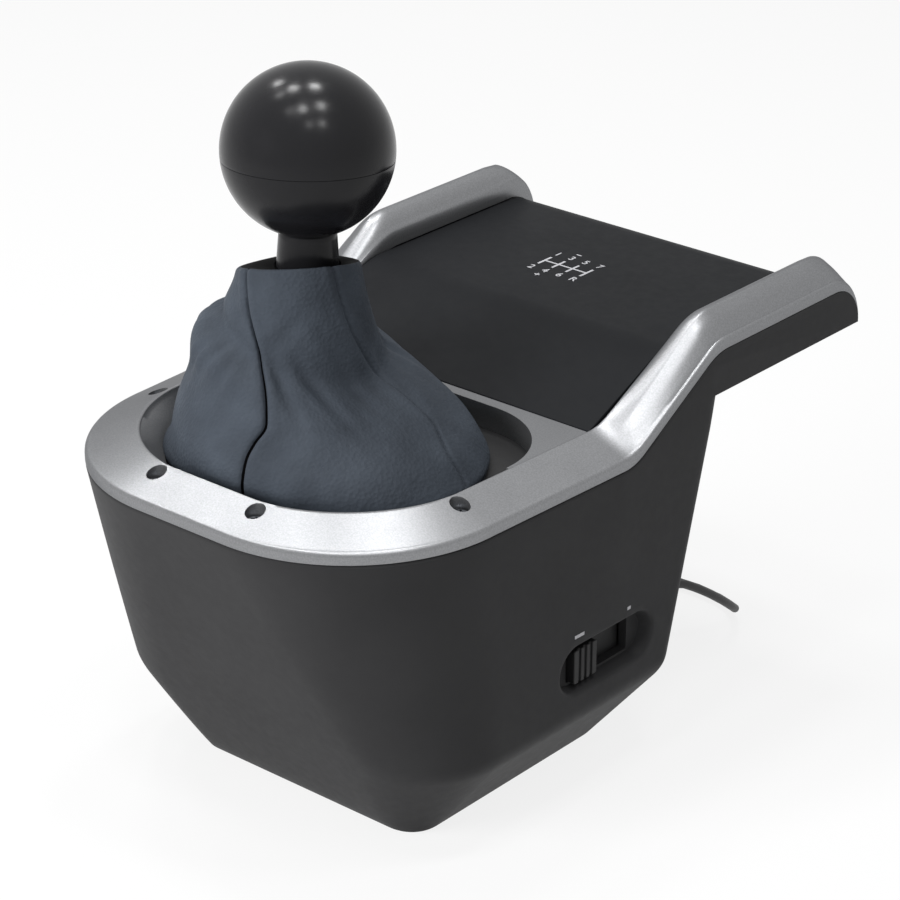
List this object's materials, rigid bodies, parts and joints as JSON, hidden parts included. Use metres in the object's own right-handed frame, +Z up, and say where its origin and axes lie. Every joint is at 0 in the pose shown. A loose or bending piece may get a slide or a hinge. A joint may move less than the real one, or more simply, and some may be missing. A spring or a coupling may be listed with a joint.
{
  "type": "racing simulator gear shifter",
  "caption": "Desk gear shifter for a racing simulator: ball knob on a sprung two-axis lever, leather boot, silver bezel with side rails, black housing and a mode slider.",
  "frame": {"origin": "on the floor, in the middle of the body's width and length", "axes": "+Z up, +Y to the desk and the rear overhang, +X to the user's right"},
  "size_m": [0.15, 0.2361, 0.2294],
  "materials": {
    "housing_black": "moulded, fine grain",
    "panel_black": "satin",
    "silver": "satin silver",
    "boot_leather": "soft grain",
    "knob_black": "satin",
    "inner_plastic": "moulded",
    "pad_rubber": "matte",
    "cord_black": "satin jacket",
    "steel": "turned",
    "frame_steel": "satin",
    "bush_brass": "sintered",
    "board_green": "solder mask",
    "nylon_white": "natural"
  },
  "bodies": {
    "housing": {"lower_housing": "housing_black", "base_plate": "housing_black", "base_screws": "steel", "mount_inserts": "bush_brass", "desk_pads": "pad_rubber", "top_bezel": "silver", "bezel_screws": "steel", "top_panel": "panel_black", "boot_ring": "inner_plastic", "ring_screws": "steel", "boot_lower": "boot_leather", "gimbal_frame": "frame_steel", "frame_screws": "steel", "trunnion_bushes": "bush_brass", "gate_plate": "frame_steel", "gate_screws": "steel", "select_spring": "steel", "select_board": "board_green", "main_board": "board_green", "board_parts": "inner_plastic", "board_screws": "steel", "mode_switch": "inner_plastic", "switch_board": "board_green", "switch_screws": "steel", "cable_gland": "cord_black", "usb_cord": "cord_black", "cord_coil": "cord_black", "plug_lead": "cord_black", "usb_plug": "cord_black", "plug_shell": "steel", "cord_tie": "pad_rubber"},
    "yoke": {"yoke_ring": "frame_steel", "yoke_trunnions": "steel", "yoke_bushes": "bush_brass", "spring_collar": "steel", "select_magnet": "steel", "throw_board": "board_green", "throw_spring": "steel", "boot_upper": "boot_leather"},
    "lever": {"lever_shaft": "steel", "lever_hub": "frame_steel", "lever_pin": "steel", "throw_collar": "steel", "throw_magnet": "steel", "gate_pin": "steel", "gate_roller": "nylon_white", "knob_upper": "knob_black", "knob_lower": "knob_black", "knob_insert": "bush_brass", "lock_nut": "steel", "neck_collar": "knob_black", "boot_collar": "inner_plastic"},
    "mode": {"mode_thumb": "inner_plastic", "mode_carriage": "inner_plastic", "switch_stem": "nylon_white"}
  },
  "joints": [
    {"name": "gate_select", "type": "hinge", "parent": "housing", "child": "yoke", "pos_m": [0, -0.0485, 0.07], "axis": [0, 1, 0], "range_deg": [-10, 20], "stiffness_Nm_per_rad": 2, "deforming": ["select_spring", "boot_lower"]},
    {"name": "shift_throw", "type": "hinge", "parent": "yoke", "child": "lever", "pos_m": [0, -0.0485, 0.07], "axis": [0.9962, 0, 0.0872], "range_deg": [-12, 12], "stiffness_Nm_per_rad": 2, "deforming": ["throw_spring", "boot_upper"]},
    {"name": "mode_slide", "type": "slide", "parent": "housing", "child": "mode", "axis": [0, 1, 0], "range_m": [0, 0.017]}
  ]
}
